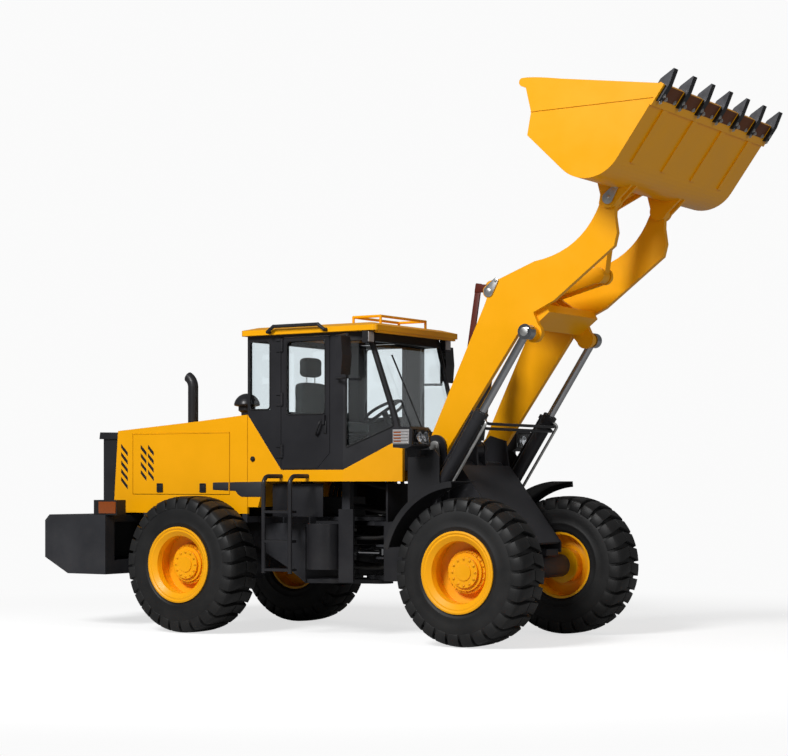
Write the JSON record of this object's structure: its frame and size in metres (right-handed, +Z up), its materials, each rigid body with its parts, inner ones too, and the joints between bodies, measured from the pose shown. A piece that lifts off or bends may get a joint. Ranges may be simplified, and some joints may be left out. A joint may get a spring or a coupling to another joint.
{
  "type": "articulated wheel loader",
  "caption": "Articulated wheel loader with a raised boom, Z-bar bucket linkage, glazed cab, engine hood and counterweight on large lugged tyres.",
  "frame": {"origin": "on the ground under the articulation pin, which is the middle of the machine's length with the boom raised", "axes": "+X forward, +Y to the left, +Z up"},
  "size_m": [7.3385, 2.4, 4.9357],
  "materials": {
    "yellow_paint": "gloss",
    "rim_paint": "satin",
    "black_paint": "satin",
    "charcoal_paint": "satin",
    "tyre": "matte",
    "glass": "clear",
    "rod_chrome": "polished",
    "seat_cover": "matte",
    "lamp_plastic": "gloss",
    "tooth_steel": "rough"
  },
  "bodies": {
    "rear_frame": {"rear_frame": "charcoal_paint", "counterweight": "charcoal_paint", "hood": "yellow_paint", "engine": "charcoal_paint", "rear_grille": "black_paint", "stacks": "black_paint", "cab": "black_paint", "cab_base": "yellow_paint", "roof": "yellow_paint", "cab_glass": "glass", "seat": "seat_cover", "steering_console": "black_paint", "mirrors": "black_paint", "ladders": "black_paint", "tanks": "black_paint", "lamps": "lamp_plastic", "rear_axle": "charcoal_paint"},
    "front_frame": {"front_frame": "charcoal_paint", "tower_left": "black_paint", "tower_right": "black_paint", "front_axle": "charcoal_paint", "drive_shaft": "charcoal_paint", "front_fenders": "black_paint", "headlamps": "lamp_plastic"},
    "boom": {"boom_arm_left": "yellow_paint", "boom_arm_right": "yellow_paint", "boom_cross": "yellow_paint"},
    "bucket": {"bucket": "yellow_paint", "bucket_teeth": "tooth_steel"},
    "bellcrank": {"bellcrank": "yellow_paint"},
    "tilt_link": {"tilt_link": "yellow_paint"},
    "tilt_barrel": {"tilt_barrel": "black_paint"},
    "tilt_rod": {"tilt_rod": "rod_chrome"},
    "hood_side_left": {"hood_side_left": "yellow_paint"},
    "door_left": {"door_left": "black_paint", "door_glass_left": "glass"},
    "wheel_front_left": {"tyre_front_left": "tyre", "rim_front_left": "rim_paint"},
    "wheel_rear_left": {"tyre_rear_left": "tyre", "rim_rear_left": "rim_paint"},
    "lift_barrel_left": {"lift_barrel_left": "black_paint"},
    "lift_rod_left": {"lift_rod_left": "rod_chrome"},
    "steer_barrel_left": {"steer_barrel_left": "black_paint"},
    "steer_rod_left": {"steer_rod_left": "rod_chrome"},
    "hood_side_right": {"hood_side_right": "yellow_paint"},
    "door_right": {"door_right": "black_paint", "door_glass_right": "glass"},
    "wheel_front_right": {"tyre_front_right": "tyre", "rim_front_right": "rim_paint"},
    "wheel_rear_right": {"tyre_rear_right": "tyre", "rim_rear_right": "rim_paint"},
    "lift_barrel_right": {"lift_barrel_right": "black_paint"},
    "lift_rod_right": {"lift_rod_right": "rod_chrome"},
    "steer_barrel_right": {"steer_barrel_right": "black_paint"},
    "steer_rod_right": {"steer_rod_right": "rod_chrome"}
  },
  "joints": [
    {"name": "steer", "type": "hinge", "parent": "rear_frame", "child": "front_frame", "pos_m": [0, 0, 0.8], "axis": [0, 0, 1], "range_deg": [-36, 36]},
    {"name": "boom_lift", "type": "hinge", "parent": "front_frame", "child": "boom", "pos_m": [0.98, 0, 1.79], "axis": [0, 1, 0], "range_deg": [0, 80]},
    {"name": "bucket_tilt", "type": "hinge", "parent": "boom", "child": "bucket", "pos_m": [2.75841, 0, 3.93973], "axis": [0, -1, 0], "range_deg": [-98, 70]},
    {"name": "wheel_front_left", "type": "hinge", "parent": "front_frame", "child": "wheel_front_left", "pos_m": [1.575, 0.94, 0.665], "axis": [0, 1, 0], "continuous": true},
    {"name": "wheel_rear_left", "type": "hinge", "parent": "rear_frame", "child": "wheel_rear_left", "pos_m": [-1.575, 0.94, 0.665], "axis": [0, 1, 0], "continuous": true},
    {"name": "wheel_front_right", "type": "hinge", "parent": "front_frame", "child": "wheel_front_right", "pos_m": [1.575, -0.94, 0.665], "axis": [0, 1, 0], "continuous": true},
    {"name": "wheel_rear_right", "type": "hinge", "parent": "rear_frame", "child": "wheel_rear_right", "pos_m": [-1.575, -0.94, 0.665], "axis": [0, 1, 0], "continuous": true},
    {"name": "door_left", "type": "hinge", "parent": "rear_frame", "child": "door_left", "pos_m": [-0.668, 0.703, 2.2], "axis": [0, 0, 1], "range_deg": [0, 110]},
    {"name": "hood_side_left", "type": "hinge", "parent": "rear_frame", "child": "hood_side_left", "pos_m": [-1.925, 0.695, 1.95], "axis": [1, 0, 0], "range_deg": [0, 75]},
    {"name": "door_right", "type": "hinge", "parent": "rear_frame", "child": "door_right", "pos_m": [-0.668, -0.703, 2.2], "axis": [0, 0, -1], "range_deg": [0, 110]},
    {"name": "hood_side_right", "type": "hinge", "parent": "rear_frame", "child": "hood_side_right", "pos_m": [-1.925, -0.695, 1.95], "axis": [-1, 0, 0], "range_deg": [0, 75]},
    {"name": "bellcrank", "type": "hinge", "parent": "boom", "child": "bellcrank", "pos_m": [1.72782, 0, 3.19598], "axis": [0, -1, 0], "range_deg": [-14.14, 19.8]},
    {"name": "tilt_link", "type": "hinge", "parent": "bucket", "child": "tilt_link", "pos_m": [2.49078, 0, 3.97967], "axis": [0, -1, 0], "range_deg": [-60.09, 84.13]},
    {"name": "tilt_swing", "type": "hinge", "parent": "front_frame", "child": "tilt_barrel", "pos_m": [1.07, 0, 1.77], "axis": [0, 1, 0], "range_deg": [-1, 83.67]},
    {"name": "tilt_stroke", "type": "slide", "parent": "tilt_barrel", "child": "tilt_rod", "axis": [0.1573, 0, 0.9876], "range_m": [-0.1448, 0.1034]},
    {"name": "lift_swing_left", "type": "hinge", "parent": "front_frame", "child": "lift_barrel_left", "pos_m": [1, 0.645, 1.29], "axis": [0, 1, 0], "range_deg": [-1, 72.98]},
    {"name": "lift_stroke_left", "type": "slide", "parent": "lift_barrel_left", "child": "lift_rod_left", "axis": [0.5481, 0, 0.8364], "range_m": [-0.6181, 0.005]},
    {"name": "steer_swing_left", "type": "hinge", "parent": "rear_frame", "child": "steer_barrel_left", "pos_m": [-0.56, 0.3, 0.8], "axis": [0, 0, 1], "range_deg": [-11.27, 11.27]},
    {"name": "steer_stroke_left", "type": "slide", "parent": "steer_barrel_left", "child": "steer_rod_left", "axis": [0.9993, 0.0368, 0], "range_m": [-0.1987, 0.1987]},
    {"name": "lift_swing_right", "type": "hinge", "parent": "front_frame", "child": "lift_barrel_right", "pos_m": [1, -0.645, 1.29], "axis": [0, 1, 0], "range_deg": [-1, 72.98]},
    {"name": "lift_stroke_right", "type": "slide", "parent": "lift_barrel_right", "child": "lift_rod_right", "axis": [0.5481, 0, 0.8364], "range_m": [-0.6181, 0.005]},
    {"name": "steer_swing_right", "type": "hinge", "parent": "rear_frame", "child": "steer_barrel_right", "pos_m": [-0.56, -0.3, 0.8], "axis": [0, 0, 1], "range_deg": [-11.27, 11.27]},
    {"name": "steer_stroke_right", "type": "slide", "parent": "steer_barrel_right", "child": "steer_rod_right", "axis": [0.9993, -0.0368, 0], "range_m": [-0.1987, 0.1987]}
  ],
  "couplings": [
    {"joint": "bellcrank", "follows": "bucket_tilt", "ratio": -0.2},
    {"joint": "tilt_link", "follows": "bucket_tilt", "ratio": -0.85},
    {"joint": "tilt_swing", "follows": "boom_lift", "ratio": 1.0354},
    {"joint": "tilt_stroke", "follows": "bucket_tilt", "m_per_rad": 0.08379},
    {"joint": "lift_swing_left", "follows": "boom_lift", "ratio": 0.90324},
    {"joint": "lift_stroke_left", "follows": "boom_lift", "m_per_rad": -0.43832},
    {"joint": "steer_swing_left", "follows": "steer", "ratio": 0.31006},
    {"joint": "steer_stroke_left", "follows": "steer", "m_per_rad": -0.31305},
    {"joint": "lift_swing_right", "follows": "boom_lift", "ratio": 0.90324},
    {"joint": "lift_stroke_right", "follows": "boom_lift", "m_per_rad": -0.43832},
    {"joint": "steer_swing_right", "follows": "steer", "ratio": 0.31006},
    {"joint": "steer_stroke_right", "follows": "steer", "m_per_rad": 0.31305}
  ]
}
